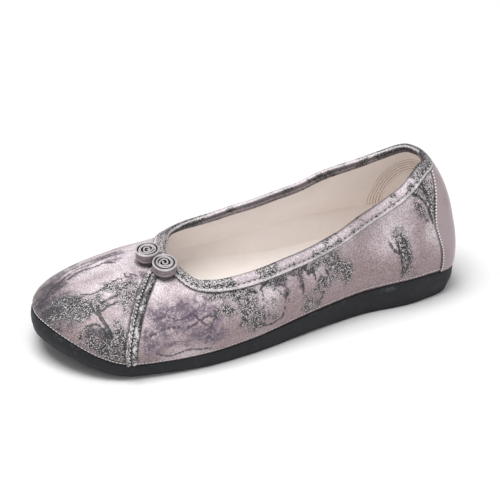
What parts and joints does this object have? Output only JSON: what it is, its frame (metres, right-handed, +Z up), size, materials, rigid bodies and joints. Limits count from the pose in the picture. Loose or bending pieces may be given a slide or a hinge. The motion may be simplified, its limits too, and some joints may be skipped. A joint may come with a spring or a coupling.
{
  "type": "cloth shoe",
  "caption": "Low-cut slip-on cloth shoe for the left foot, with a printed upper, bound collar, diagonal vamp strip, coiled ribbon buttons and a flat rubber sole.",
  "frame": {"origin": "on the floor, under the middle of the shoe's box", "axes": "+Z up, +X towards the heel, -X towards the toe, -Y towards the outer side of the left foot"},
  "size_m": [0.2468, 0.0902, 0.078],
  "materials": {
    "outsole": "matte black moulded rubber",
    "insole": "cream woven lining",
    "upper": "satin-faced mauve cotton with a grey ink print",
    "binding": "folded tape of the same printed cloth",
    "strip": "piped strip of printed cloth",
    "heel_piece": "glossy mauve satin",
    "button": "rolled cloth ribbon"
  },
  "bodies": {
    "root": {"outsole": "outsole", "insole": "insole", "upper": "upper", "collar_binding": "binding", "vamp_binding": "binding", "vamp_strip": "strip", "heel_piece": "heel_piece", "button_front": "button", "button_rear": "button"}
  },
  "joints": []
}
